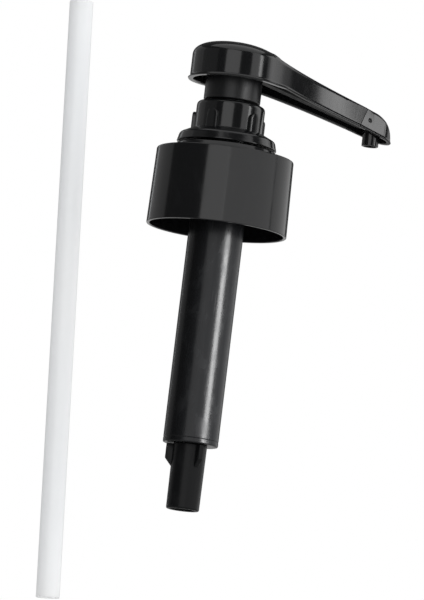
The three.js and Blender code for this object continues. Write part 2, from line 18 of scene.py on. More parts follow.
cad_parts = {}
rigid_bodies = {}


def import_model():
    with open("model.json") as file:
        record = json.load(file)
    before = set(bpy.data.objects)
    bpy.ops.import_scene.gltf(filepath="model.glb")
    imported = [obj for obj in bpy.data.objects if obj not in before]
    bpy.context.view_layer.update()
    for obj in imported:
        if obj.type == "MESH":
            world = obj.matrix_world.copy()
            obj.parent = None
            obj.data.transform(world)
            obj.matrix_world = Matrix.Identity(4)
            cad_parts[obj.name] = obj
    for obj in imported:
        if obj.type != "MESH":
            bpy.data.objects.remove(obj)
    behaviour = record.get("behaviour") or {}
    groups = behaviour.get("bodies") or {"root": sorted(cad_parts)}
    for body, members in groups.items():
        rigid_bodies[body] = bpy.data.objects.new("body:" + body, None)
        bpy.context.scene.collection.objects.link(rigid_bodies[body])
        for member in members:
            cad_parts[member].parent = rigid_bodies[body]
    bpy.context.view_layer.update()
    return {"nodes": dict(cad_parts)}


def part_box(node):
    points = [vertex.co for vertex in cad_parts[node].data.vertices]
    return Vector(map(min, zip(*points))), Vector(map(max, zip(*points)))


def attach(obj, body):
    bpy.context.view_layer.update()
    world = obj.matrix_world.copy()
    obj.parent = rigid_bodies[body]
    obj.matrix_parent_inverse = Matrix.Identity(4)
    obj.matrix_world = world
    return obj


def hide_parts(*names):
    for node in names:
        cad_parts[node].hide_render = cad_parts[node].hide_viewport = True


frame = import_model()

MM = 0.001
MERGE_DISTANCE = 2e-6
SHORTEST_MM = 1e-6
ROUNDING_SHARE = 0.47
EDGE_LOOP_MM = 0.2
EDGE_LOOP_SHARE = 0.15
THREAD_FADE_TURNS = 0.1
PLASTIC_IOR = 1.5
Array = np.ndarray
Triple = tuple[float, float, float]

log = logging.getLogger("condiment_pump")


class Body(Enum):
    """The CAD bodies that pieces ride on."""

    PUMP = "pump_body"
    CLOSURE = "closure"
    PISTON = "piston"
    HEAD = "head"
    OUTLET_VALVE = "outlet_valve"
    INLET_VALVE = "inlet_valve"


class Slot(Enum):
    """The record's material slots."""

    GLOSS_BLACK = "gloss_black"
    SATIN_BLACK = "satin_black"
    NATURAL = "natural_plastic"
    TUBE = "milky_tube"
    RUBBER = "seal_rubber"
    STEEL = "stainless_steel"


# ---- shader expressions


@dataclass(frozen=True)
class Wire:
    """A number coming out of a node, which ordinary arithmetic turns into Math nodes."""

    graph: "Graph"
    socket: bpy.types.NodeSocket

    def _math(self, operation: str, first: object, second: object) -> "Wire":
        """Adds one Math node on two values and gives its result."""
        return self.graph.node("ShaderNodeMath", {"operation": operation}, {0: first, 1: second})

    def __add__(self, other: object) -> "Wire":
        """self + other."""
        return self._math("ADD", self, other)

    def __radd__(self, other: object) -> "Wire":
        """other + self."""
        return self._math("ADD", other, self)

    def __sub__(self, other: object) -> "Wire":
        """self - other."""
        return self._math("SUBTRACT", self, other)

    def __mul__(self, other: object) -> "Wire":
        """self * other."""
        return self._math("MULTIPLY", self, other)


class Graph:
    """One material's node tree, with a single method that makes nodes."""

    def __init__(self, name: str) -> None:
        """Starts a material whose shader and output are already joined.

        Args:
            name: The material's name.
        """
        self.material = bpy.data.materials.new(name)
        self.material.use_nodes = True
        self.tree = self.material.node_tree
        self.shader = self.tree.nodes["Principled BSDF"]
        self.place = self.node("ShaderNodeTexCoord", {}, {}, "Object")

    def node(self, kind: str, settings: dict[str, object], inputs: dict, output: object = 0) -> Wire:
        """Makes one node, sets it up and feeds it.

        Args:
            kind: The node's type name.
            settings: Properties set before anything is connected.
            inputs: Values or wires by socket name or number.
            output: The name or number of the socket that the wire comes from.

        Returns:
            A wire from the node's output.
        """
        made = self.tree.nodes.new(kind)
        for key, value in settings.items():
            setattr(made, key, value)
        for key, value in inputs.items():
            self.feed(made.inputs[key], value)
        return Wire(self, made.outputs[output])

    def feed(self, socket: bpy.types.NodeSocket, value: object) -> None:
        """Puts a plain value on a socket, or joins a wire to it.

        Args:
            socket: The socket.
            value: The value or the wire.
        """
        if isinstance(value, Wire):
            self.tree.links.new(value.socket, socket)
        else:
            socket.default_value = value

    def shade(self, **values: object) -> None:
        """Sets the shader's sockets, written with _ for a space."""
        for key, value in values.items():
            self.feed(self.shader.inputs[key.replace("_", " ")], value)

    def noise(self, scale: float, stretch: Triple = (1, 1, 1), detail: float = 3) -> Wire:
        """Noise from 0 to 1 over Object coordinates.

        Args:
            scale: Features per metre.
            stretch: How much finer the noise is along each axis.
            detail: Octaves.

        Returns:
            The noise's factor.
        """
        spread = self.node("ShaderNodeMapping", {}, {"Vector": self.place, "Scale": stretch})
        return self.node("ShaderNodeTexNoise", {}, {"Vector": spread, "Scale": scale, "Detail": detail})

    def ramp(self, factor: Wire, low: float, high: float) -> Wire:
        """The factor stretched so that low becomes 0 and high becomes 1, clamped."""
        ends = {"From Min": low, "From Max": high, "Value": factor}
        return self.node("ShaderNodeMapRange", {"clamp": True}, ends)

    def mix(self, factor: object, first: Sequence[float], second: Sequence[float]) -> Wire:
        """A colour between two, by factor."""
        mixed = {0: factor, 6: (*first, 1.0), 7: (*second, 1.0)}
        return self.node("ShaderNodeMix", {"data_type": "RGBA"}, mixed, 2)

    def bump(self, height: Wire, strength: float, depth_mm: float) -> Wire:
        """A normal pushed about by a height field.

        Args:
            height: The height, from 0 to 1.
            strength: How much of it is felt.
            depth_mm: The depth that 1 stands for.

        Returns:
            The bumped normal.
        """
        inputs = {"Height": height, "Strength": strength, "Distance": depth_mm * MM}
        return self.node("ShaderNodeBump", {}, inputs)


# ---- finishes


@dataclass(frozen=True)
class Finish:
    """A material's name, slot and main colour."""

    name: str
    slot: Slot
    colour: Triple

    def dress(self, g: Graph) -> None:
        """Feeds the shader, which each kind of finish does in its own way."""
        raise NotImplementedError

    def build(self) -> bpy.types.Material:
        """The material, dressed."""
        g = Graph(self.name)
        self.dress(g)
        return g.material


@dataclass(frozen=True)
class MouldedBlack(Finish):
    """Black injection-moulded plastic: mirror-like or satin, with flow ripples, scuffs and dust.

    Rubs and dust pale the colour, rubs and scratches dull it, and the normal has the rest.
    """

    roughness: float
    scuff: float
    ripple_mm: float
    grain_mm: float
    gloss: float = 0.5
    scratch_mm: float = 0.006
    scratch_dulling: float = 0.12
    rub_dulling: float = 0.16
    rub_paling: float = 0.12
    dust_paling: float = 0.4
    dust_colour: Triple = (0.05, 0.052, 0.056)

    def dress(self, g: Graph) -> None:
        """Feeds the shader.

        Args:
            g: The material's graph.
        """
        flow = g.noise(45, (1, 1, 0.45), 1)
        scratches = g.ramp(g.noise(900, (1, 1, 0.06), 4), low=0.57, high=0.74)
        rubs = g.ramp(g.noise(160, (1, 1, 0.5), 5), low=0.52, high=0.78)
        dust = g.ramp(g.noise(1700, (1, 1, 1), 2), low=0.7, high=0.8)
        grain = g.noise(4200, (1, 1, 1), 2)
        height = flow * self.ripple_mm + grain * self.grain_mm
        height -= scratches * (self.scratch_mm * self.scuff)
        paling = dust * self.dust_paling + rubs * (self.rub_paling * self.scuff)
        dulling = scratches * (self.scratch_dulling * self.scuff)
        g.shade(
            Base_Color=g.mix(paling, self.colour, self.dust_colour),
            Roughness=self.roughness + rubs * (self.rub_dulling * self.scuff) + dulling,
            IOR=PLASTIC_IOR,
            Specular_IOR_Level=self.gloss,
            Normal=g.bump(height, strength=1.0, depth_mm=1.0),
        )


@dataclass(frozen=True)
class MilkyPlastic(Finish):
    """Natural polyethylene or acetal, cloudy right through, with fine extrusion lines along Z, and a
    painted glow: light of its own that stands for the light the real plastic lets through.
    """

    shadow: Triple
    roughness: float
    depth: float
    # Painted light: emission strength that stands for light let through the plastic, not a lamp.
    painted_glow: float = 0.0
    scuff_dulling: float = 0.15
    scatter_m: float = 0.006

    def dress(self, g: Graph) -> None:
        """Feeds the shader.

        Args:
            g: The material's graph.
        """
        cloud = g.ramp(g.noise(22, (1, 1, 0.35), 3), low=0.35, high=0.7)
        lines = g.noise(1500, (1, 1, 0.02), 3)
        scuffs = g.ramp(g.noise(260, (1, 1, 0.3), 4), low=0.55, high=0.75)
        g.shade(
            Base_Color=g.mix(cloud, self.colour, self.shadow),
            Roughness=self.roughness + scuffs * self.scuff_dulling,
            Subsurface_Weight=self.depth,
            Subsurface_Radius=(self.scatter_m, self.scatter_m, self.scatter_m),
            Subsurface_Scale=1.0,
            # Painted light: this emission makes the plastic shine by itself, standing in for light let
            # through it; it still shines in a dark scene.
            Emission_Color=(*self.colour, 1.0),
            Emission_Strength=self.painted_glow,
            IOR=PLASTIC_IOR,
            Normal=g.bump(lines, strength=0.5, depth_mm=0.03),
        )


@dataclass(frozen=True)
class SealRubber(Finish):
    """Food-grade silicone with a powdery bloom and a fine grain."""

    roughness: float = 0.5
    bloom_dulling: float = 0.25
    bloom_paling: float = 1.25

    def dress(self, g: Graph) -> None:
        """Feeds the shader.

        Args:
            g: The material's graph.
        """
        bloom = g.ramp(g.noise(300, (1, 1, 1), 4), low=0.4, high=0.75)
        paler = tuple(min(1.0, channel * self.bloom_paling) for channel in self.colour)
        g.shade(
            Base_Color=g.mix(bloom, self.colour, paler),
            Roughness=self.roughness + bloom * self.bloom_dulling,
            Normal=g.bump(g.noise(2500), strength=0.6, depth_mm=0.02),
        )


@dataclass(frozen=True)
class StainlessSteel(Finish):
    """Drawn or ground stainless steel, with fine drawing marks round Z."""

    roughness: float
    mark_dulling: float = 0.12
    mark_darkening: float = 0.8

    def dress(self, g: Graph) -> None:
        """Feeds the shader.

        Args:
            g: The material's graph.
        """
        marks = g.noise(1800, (0.3, 0.3, 3.0), 4)
        darker = tuple(channel * self.mark_darkening for channel in self.colour)
        g.shade(
            Base_Color=g.mix(marks, self.colour, darker),
            Metallic=1.0,
            Roughness=self.roughness + marks * self.mark_dulling,
            Normal=g.bump(marks, strength=0.4, depth_mm=0.01),
        )


class Finishes:
    """Every finish on the pump, made once."""

    def __init__(self) -> None:
        """Sets up every finish with its slot; each material is built the first time it is asked for."""
        black = (0.0065, 0.0068, 0.0075)
        glossy = Slot.GLOSS_BLACK
        self.gloss = MouldedBlack(
            "gloss_moulded_black", glossy, black,
            roughness=0.13, scuff=0.5, ripple_mm=0.05, grain_mm=0.0002,
        )
        self.worn = MouldedBlack(
            "worn_gloss_black", glossy, black,
            roughness=0.22, scuff=1.0, ripple_mm=0.05, grain_mm=0.0006, gloss=0.25,
        )
        self.dull = MouldedBlack(
            "dull_moulded_black", glossy, black,
            roughness=0.3, scuff=1.0, ripple_mm=0.03, grain_mm=0.0008, gloss=0.16,
        )
        self.satin = MouldedBlack(
            "satin_black", Slot.SATIN_BLACK, black,
            roughness=0.36, scuff=0.6, ripple_mm=0.02, grain_mm=0.0016, gloss=0.38,
        )
        self.natural = MilkyPlastic(
            "natural_acetal", Slot.NATURAL, (0.8, 0.81, 0.79), (0.7, 0.71, 0.69),
            roughness=0.36, depth=0.15,
        )
        # The tube's painted glow of 0.2 is painted light, standing for the light that the real tube
        # lets through.
        self.tube = MilkyPlastic(
            "milky_polyethylene", Slot.TUBE, (0.92, 0.93, 0.94), (0.84, 0.86, 0.88),
            roughness=0.3, depth=0.5, painted_glow=0.2,
        )
        self.rubber = SealRubber("food_silicone", Slot.RUBBER, (0.5, 0.51, 0.48))
        self.steel = StainlessSteel("stainless_wire", Slot.STEEL, (0.62, 0.63, 0.65), roughness=0.2)
        self._made: dict[str, bpy.types.Material] = {}

    def material(self, finish: Finish) -> bpy.types.Material:
        """The material of a finish, built the first time it is asked for."""
        if finish.name not in self._made:
            self._made[finish.name] = finish.build()
        return self._made[finish.name]


# ---- surfaces


@dataclass(frozen=True)
class Sheet:
    """A surface as points on a grid, in millimetres, rows by columns by 3."""

    points: Array
    wrap_rows: bool = False
    wrap_columns: bool = False

    def faces(self, first: int) -> Array:
        """Four-sided faces between neighbouring grid points.

        Args:
            first: The number of the grid's first vertex in its mesh.

        Returns:
            One row of four vertex numbers for each face.
        """
        rows, columns = self.points.shape[:2]
        r = np.arange(rows if self.wrap_rows else rows - 1)[:, None]
        c = np.arange(columns if self.wrap_columns else columns - 1)[None, :]
        r1, c1 = (r + 1) % rows, (c + 1) % columns
        corners = [r * columns + c, r * columns + c1, r1 * columns + c1, r1 * columns + c]
        return first + np.stack(corners, axis=-1).reshape(-1, 4)


def in_scene(name: str, data: bpy.types.ID) -> bpy.types.Object:
    """A new object with some data, linked to the scene."""
    made = bpy.data.objects.new(name, data)
    bpy.context.scene.collection.objects.link(made)
    return made


def smooth_object(mesh: bpy.types.Mesh, work: bmesh.types.BMesh, crease: float) -> bpy.types.Object:
    """Puts finished geometry back in its mesh, smooth but for edges sharper than a crease.

    Args:
        mesh: The mesh.
        work: The finished geometry, which is freed.
        crease: The angle in degrees past which an edge shades sharp.

    Returns:
        The object, named as its mesh.
    """
    work.to_mesh(mesh)
    work.free()
    mesh.shade_smooth()
    mesh.set_sharp_from_angle(angle=math.radians(crease))
    return in_scene(mesh.name, mesh)


def solid_object(name: str, sheets: Sequence[Sheet], crease: float = 40) -> bpy.types.Object:
    """Puts grids into one mesh, merges shared points and turns its faces outwards.

    Args:
        name: The object's name.
        sheets: The grids that together close the solid.
        crease: The angle in degrees past which an edge shades sharp.

    Returns:
        The object, at the origin, with its place in its mesh.
    """
    starts = np.cumsum([0] + [sheet.points.shape[0] * sheet.points.shape[1] for sheet in sheets])
    points = np.concatenate([sheet.points.reshape(-1, 3) for sheet in sheets]) * MM
    faces = np.concatenate([sheet.faces(start) for sheet, start in zip(sheets, starts)])
    mesh = bpy.data.meshes.new(name)
    mesh.vertices.add(len(points))
    mesh.vertices.foreach_set("co", points.astype(np.float32).ravel())
    mesh.loops.add(faces.size)
    mesh.loops.foreach_set("vertex_index", faces.astype(np.int32).ravel())
    mesh.polygons.add(len(faces))
    mesh.polygons.foreach_set("loop_start", np.arange(0, faces.size, 4, dtype=np.int32))
    mesh.update(calc_edges=True)
    work = bmesh.new()
    work.from_mesh(mesh)
    bmesh.ops.remove_doubles(work, verts=work.verts, dist=MERGE_DISTANCE)
    bmesh.ops.recalc_face_normals(work, faces=work.faces)
    return smooth_object(mesh, work, crease)


def softened(corners: Sequence[Triple], closed: bool = True, step: float = 1.6, arc: int = 6) -> Array:
    """A profile with each corner rounded and each straight cut into short lengths.

    A corner at distance d from both its neighbours' rounding becomes the quadratic curve through
    its two ends with the corner as its control, d being the corner's radius, or less than half of
    the shorter side. A straight has a point close to each of its ends, so that it shades flat.

    Args:
        corners: Radius, height and rounding of each corner, in order.
        closed: Whether the last corner runs on into the first.
        step: The longest piece of a straight.
        arc: The pieces in a rounded corner.

    Returns:
        The profile's points, as radius and height.
    """
    path = np.array([corner[:2] for corner in corners], float)
    radii = np.array([corner[2] for corner in corners], float)
    count = len(path)
    before, after = np.roll(path, 1, axis=0), np.roll(path, -1, axis=0)
    reach_in = np.linalg.norm(path - before, axis=1)
    reach_out = np.linalg.norm(path - after, axis=1)
    cut = np.minimum(radii, ROUNDING_SHARE * np.minimum(reach_in, reach_out))
    if not closed:
        cut[[0, -1]] = 0
    t = np.linspace(0, 1, arc + 1)[:, None]
    arcs = []
    for i in range(count):
        if cut[i] <= 0:
            arcs.append(path[i : i + 1])
            continue
        start = path[i] + (before[i] - path[i]) * cut[i] / reach_in[i]
        end = path[i] + (after[i] - path[i]) * cut[i] / reach_out[i]
        arcs.append((1 - t) ** 2 * start + 2 * t * (1 - t) * path[i] + t**2 * end)
    joined = []
    for i in range(count):
        joined.append(arcs[i])
        if i == count - 1 and not closed:
            break
        a, b = arcs[i][-1], arcs[(i + 1) % count][0]
        length = np.linalg.norm(b - a)
        if length < SHORTEST_MM:
            continue
        pieces = math.ceil(length / step)
        inner = np.arange(1, max(1, pieces)) / pieces
        near = min(EDGE_LOOP_MM, EDGE_LOOP_SHARE * length) / length
        stops = np.unique(np.concatenate([[near], inner, [1 - near]]))[:, None]
        joined.append(a + (b - a) * stops)
    return np.concatenate(joined)


def turned(profile: Array, sides: int = 160, closed: bool = True) -> Sheet:
    """A profile swept round Z: x = r cos a, y = r sin a, z = h.

    Args:
        profile: Radius and height of each point.
        sides: The columns round the axis.
        closed: Whether the profile closes on itself; if not, it starts and ends on the axis.

    Returns:
        The grid, a row for each profile point.
    """
    angle = np.linspace(0, 2 * math.pi, sides, endpoint=False)
    r, h = profile[:, :1], profile[:, 1:]
    points = np.stack([r * np.cos(angle), r * np.sin(angle), h + 0 * angle], axis=-1)
    return Sheet(points, wrap_rows=closed, wrap_columns=True)


@dataclass(frozen=True)
class Thread:
    """The single ridge of a screw thread on a turned wall.

    Its middle starts at angle 0 and climbs one pitch a turn. The ridge is a cosine hump across,
    and fades in and out over the first and last tenth of a turn.
    """

    start: float
    pitch: float
    turns: float
    height: float
    half: float

    def put_on(self, wall: Sheet, where: Array, outward: int) -> Sheet:
        """Pushes a wall's points away from the axis, or towards it, by the ridge's height there.

        Args:
            wall: The turned wall.
            where: Which of its points may take the thread.
            outward: 1 for a thread outside, -1 for one inside.

        Returns:
            The threaded wall.
        """
        x, y, z = np.moveaxis(wall.points, -1, 0)
        around = np.arctan2(y, x) / (2 * math.pi) % 1
        total = np.zeros(around.shape)
        for lap in range(math.ceil(self.turns) + 1):
            along = around + lap
            across = np.clip(np.abs(z - self.start - self.pitch * along) / self.half, 0, 1)
            fade = np.clip(np.minimum(along, self.turns - along) / THREAD_FADE_TURNS, 0, 1)
            total = np.maximum(total, 0.5 * (1 + np.cos(math.pi * across)) * fade)
        radius = np.hypot(x, y)
        factor = (radius + outward * self.height * total * where) / np.maximum(radius, SHORTEST_MM)
        return Sheet(np.stack([x * factor, y * factor, z], axis=-1), wall.wrap_rows, wall.wrap_columns)


def smooth_max(a: Array, b: Array, blend: float) -> Array:
    """The larger of two heights, filleted: half of a + b + root((a - b) squared + blend squared)."""
    return 0.5 * (a + b + np.sqrt((a - b) ** 2 + blend**2))


class Span:
    """A CAD node's box in millimetres, as a turned piece reads it."""

    def __init__(self, node: str) -> None:
        """Reads the box.

        Args:
            node: The CAD node's name.
        """
        low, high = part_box(node)
        self.bottom = low.z / MM
        self.top = high.z / MM
        self.radius = high.x / MM


@dataclass
class Piece:
    """What every finished piece does last: takes its material and body, and hides the CAD nodes it
    stands for.
    """

    finishes: Finishes

    def finish(
        self, made: bpy.types.Object, look: Finish, body: Body, nodes: Sequence[str] = ()
    ) -> None:
        """Dresses a piece and ties it to the frame.

        Args:
            made: The piece.
            look: The finish that it takes.
            body: The body that it rides on.
            nodes: CAD nodes that it stands for.
        """
        made.data.materials.clear()
        made.data.materials.append(self.finishes.material(look))
        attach(made, body.value)
        if nodes:
            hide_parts(*nodes)
        log.info("%s: %d faces on %s", made.name, len(made.data.polygons), body.value)


# ---- closure and collar


@dataclass
class Closure(Piece):
    """Smooth screw closure: drafted skirt, crisp shoulder, flat top, raised land, thread inside."""

    wall: float = 1.7
    shoulder_radius: float = 36.25
    shoulder_z: float = 5.6
    land_foot: float = 27.8
    foot_z: float = 5.9
    land_radius: float = 26.2
    hole: float = 15.6
    top_wall: float = 2.1
    ledge_z: float = 3.5
    thread: Thread = Thread(start=-11.5, pitch=4.23, turns=1.3, height=1.0, half=1.3)

    def build(self) -> None:
        """Makes the closure."""
        span = Span("screw_closure")
        inner_bottom = span.radius - self.wall
        inner_top = self.shoulder_radius - self.wall
        profile = softened([
            (inner_bottom, span.bottom, 0.4),
            (span.radius, span.bottom, 0.5),
            (self.shoulder_radius, self.shoulder_z, 0.9),
            (self.land_foot, self.foot_z, 0.4),
            (self.land_radius, span.top, 0.5),
            (self.hole, span.top, 0.3),
            (self.hole, span.top - self.top_wall, 0.3),
            (self.land_radius - self.top_wall, span.top - self.top_wall, 0.4),
            (self.land_foot - self.top_wall, self.ledge_z, 0.4),
            (inner_top, self.ledge_z, 0.4),
        ], step=0.7)
        sheet = turned(profile, 208)
        radius = np.hypot(sheet.points[..., 0], sheet.points[..., 1])
        inside = (radius < inner_bottom + 0.1) & (sheet.points[..., 2] < self.ledge_z - 0.5)
        inside &= radius > self.land_foot
        shell = self.thread.put_on(sheet, inside, -1)
        closure = solid_object("screw_closure_shell", [shell])
        self.finish(closure, self.finishes.gloss, Body.CLOSURE, ["screw_closure"])


@dataclass
class Collar(Piece):
    """Lock collar: a flared disc, a rounded sleeve and five arched ribs."""

    disc_radius: float = 26.5
    disc_top_radius: float = 25.3
    disc_top_z: float = 14.8
    bore: float = 14.65
    wall_z: float = 17.8
    sleeve: float = 18.1
    shoulder: float = 2.6
    hole: float = 12.2
    web: float = 3.5
    ribs: int = 5
    rib_half: float = 3.1
    rib_top_z: float = 27.2
    rib_radius: float = 19.9
    rib_edge: float = 0.55
    rib_sunk: float = 0.8
    first_rib: float = -2.0

    def rib(self, heading: float) -> Sheet:
        """One rib: an arch wrapped on the sleeve, with round edges and a flat face.

        Its outline goes up one side, over the half-round top and down the other. Each point of
        the outline has a mate on the arch's middle line, and the rib's surface runs from the
        middle line inside the wall, out to the outline, through a round edge and back to the
        middle line on the face.

        Args:
            heading: The rib's direction in degrees.

        Returns:
            The rib's closed grid.
        """
        low = self.wall_z - self.rib_sunk
        arch_z = self.rib_top_z - self.rib_half
        straight = np.linspace(low, arch_z, 12)
        swing = np.linspace(0, math.pi, 25)[1:-1]
        across = np.concatenate([0 * straight + 1, np.cos(swing), 0 * straight - 1]) * self.rib_half
        height = np.concatenate([straight, arch_z + self.rib_half * np.sin(swing), straight[::-1]])
        middle = np.clip(height, low, arch_z)
        bend = np.linspace(0, math.pi / 2, 6)
        edge, face = self.rib_edge, self.rib_radius
        inset = np.concatenate([
            [self.rib_half, 1.4, 0, 0], edge * (1 - np.cos(bend)), [1.5, self.rib_half]
        ])
        depth = np.concatenate([
            [self.sleeve - 1] * 3, [self.sleeve + 0.2], face - edge + edge * np.sin(bend), [face, face]
        ])
        share = np.clip(inset / self.rib_half, 0, 1)[:, None]
        y = across[None, :] * (1 - share)
        z = height[None, :] + (middle - height)[None, :] * share
        angle = math.radians(heading) + y / face
        r = depth[:, None] + 0 * y
        return Sheet(np.stack([r * np.cos(angle), r * np.sin(angle), z], axis=-1))

    def build(self) -> None:
        """Makes the collar and its ribs as one piece."""
        span = Span("lock_collar")
        body = turned(softened([
            (self.bore, span.bottom, 0.2),
            (self.disc_radius, span.bottom, 0.6),
            (self.disc_top_radius, self.disc_top_z, 1.0),
            (self.rib_radius + 0.6, self.wall_z - 0.6, 1.6),
            (self.sleeve, self.wall_z, 0.5),
            (self.sleeve, span.top, self.shoulder),
            (self.hole, span.top, 0.4),
            (self.hole, span.top - self.web, 0.3),
            (self.bore, span.top - self.web, 0.3),
        ], step=0.9), 192)
        turns = [self.first_rib + 360 / self.ribs * i for i in range(self.ribs)]
        collar = solid_object("lock_collar_body", [body, *(self.rib(turn) for turn in turns)], 50)
        self.finish(collar, self.finishes.gloss, Body.PUMP, ["lock_collar"])


# ---- barrel and foot valve


@dataclass
class Barrel(Piece):
    """Pump cylinder with its flange and its end web."""

    radius: float = 14.55
    bore: float = 12.6
    web: float = 2.0
    web_hole: float = 8.1
    groove: float = 0.25
    groove_up: float = 2.4
    groove_width: float = 0.5
    flange_z: float = 1.5
    flange: float = 1.8

    def build(self) -> None:
        """Makes the barrel."""
        span = Span("barrel")
        flange_top = self.flange_z + self.flange
        groove_z = span.bottom + self.groove_up
        profile = softened([
            (self.web_hole, span.bottom, 0.2),
            (self.radius, span.bottom, 0.8),
            (self.radius, groove_z, 0.15),
            (self.radius - self.groove, groove_z + self.groove_width / 2, 0.1),
            (self.radius, groove_z + self.groove_width, 0.15),
            (self.radius, self.flange_z, 0.6),
            (span.radius, self.flange_z, 0.3),
            (span.radius, flange_top, 0.3),
            (self.radius, flange_top, 0.4),
            (self.radius, span.top, 0.3),
            (self.bore, span.top, 0.3),
            (self.bore, span.bottom + self.web, 0.3),
            (self.web_hole, span.bottom + self.web, 0.2),
        ])
        barrel = solid_object("barrel_tube", [turned(profile, 160)])
        self.finish(barrel, self.finishes.worn, Body.PUMP, ["barrel"])


@dataclass
class FootValve(Piece):
    """Tail piece: a drafted socket for the dip tube and three chamfered fins."""

    stub: float = 7.9
    radius: float = 8.95
    end_radius: float = 8.7
    socket: float = 6.5
    socket_z: float = -158.0
    seat_z: float = -150.8
    passage: float = 3.6
    chamber: float = 5.4
    groove: float = 7.3
    groove_z: float = -148.7
    groove_top: float = -147.6
    shoulder_z: float = -149.1
    fins: int = 3
    fin_radius: float = 12.4
    fin_half: float = 1.3
    fin_z: float = -157.0
    fin_toe_z: float = -161.2
    fin_edge: float = 0.35
    fin_crease: float = 30.0
    first_fin: float = 33.0

    def fin(self, number: int) -> bpy.types.Object:
        """One fin: its outline in radius and height, given its thickness, with round edges.

        Args:
            number: Which fin, from 0.

        Returns:
            The fin.
        """
        root = self.socket + 1
        toe = self.fin_toe_z - (self.radius - root)
        outline = np.array([
            (root, self.shoulder_z), (root, toe),
            (self.fin_radius, self.fin_z), (self.fin_radius, self.shoulder_z),
        ])
        turn = math.radians(self.first_fin + 360 / self.fins * number)
        out = np.array([math.cos(turn), math.sin(turn)])
        side = np.array([-math.sin(turn), math.cos(turn)])
        rows = []
        for offset in (-self.fin_half, self.fin_half):
            plan = outline[:, :1] * out + offset * side
            rows.append(np.concatenate([plan, outline[:, 1:]], axis=1))
        points = np.concatenate(rows) * MM
        walls = ((i, (i + 1) % 4, (i + 1) % 4 + 4, i + 4) for i in range(4))
        faces = [(3, 2, 1, 0), (4, 5, 6, 7), *walls]
        mesh = bpy.data.meshes.new(f"tail_fin_{number + 1}")
        mesh.from_pydata(points.tolist(), [], faces)
        work = bmesh.new()
        work.from_mesh(mesh)
        bmesh.ops.recalc_face_normals(work, faces=work.faces)
        bmesh.ops.bevel(
            work, geom=work.edges, offset=self.fin_edge * MM, segments=4, profile=0.5, affect="EDGES"
        )
        return smooth_object(mesh, work, self.fin_crease)

    def build(self) -> None:
        """Makes the tail piece and its fins."""
        span = Span("tail_piece")
        body = turned(softened([
            (self.socket, span.bottom, 0.6),
            (self.end_radius, span.bottom, 1.4),
            (self.radius, self.shoulder_z, 0.2),
            (self.stub, self.shoulder_z, 0.2),
            (self.stub, self.groove_z, 0.1),
            (self.groove, self.groove_z, 0.1),
            (self.groove, self.groove_top, 0.1),
            (self.stub, self.groove_top, 0.1),
            (self.stub, span.top, 0.2),
            (self.chamber, span.top, 0.2),
            (self.chamber, self.seat_z + self.chamber - self.passage, 0.3),
            (self.passage, self.seat_z, 0.3),
            (self.passage, self.socket_z, 0.3),
            (self.socket, self.socket_z, 0.3),
        ], step=1.2), 112)
        tail = solid_object("foot_valve_body", [body])
        self.finish(tail, self.finishes.dull, Body.PUMP, ["tail_piece"])
        for number in range(self.fins):
            self.finish(self.fin(number), self.finishes.dull, Body.PUMP)


# ---- head


@dataclass
class Boss(Piece):
    """Satin sleeve under the palm disc, with the lock thread's stub and the stem socket."""

    radius: float = 15.0
    wall: float = 1.8
    bottom_z: float = 33.8
    floor: float = 2.2
    sleeve: float = 7.2
    socket: float = 5.15
    stub: float = 11.2
    thread: Thread = Thread(start=30.5, pitch=1.7, turns=1.2, height=0.6, half=0.6)

    def build(self) -> None:
        """Makes the boss."""
        span = Span("head_boss")
        sheet = turned(softened([
            (self.socket, span.bottom, 0.3),
            (self.stub, span.bottom, 0.4),
            (self.stub, self.bottom_z, 0.2),
            (self.radius, self.bottom_z, 0.8),
            (self.radius, span.top, 0.4),
            (self.radius - self.wall, span.top, 0.3),
            (self.radius - self.wall, self.bottom_z + self.floor, 0.4),
            (self.sleeve, self.bottom_z + self.floor, 0.4),
            (self.sleeve, span.top, 0.3),
            (self.socket, span.top, 0.3),
        ], step=0.35), 144)
        radius = np.hypot(sheet.points[..., 0], sheet.points[..., 1])
        on_stub = (sheet.points[..., 2] < self.bottom_z - 0.2) & (radius > self.stub - 0.3)
        boss = solid_object("head_boss_sleeve", [self.thread.put_on(sheet, on_stub, 1)])
        self.finish(boss, self.finishes.satin, Body.HEAD, ["head_boss"])


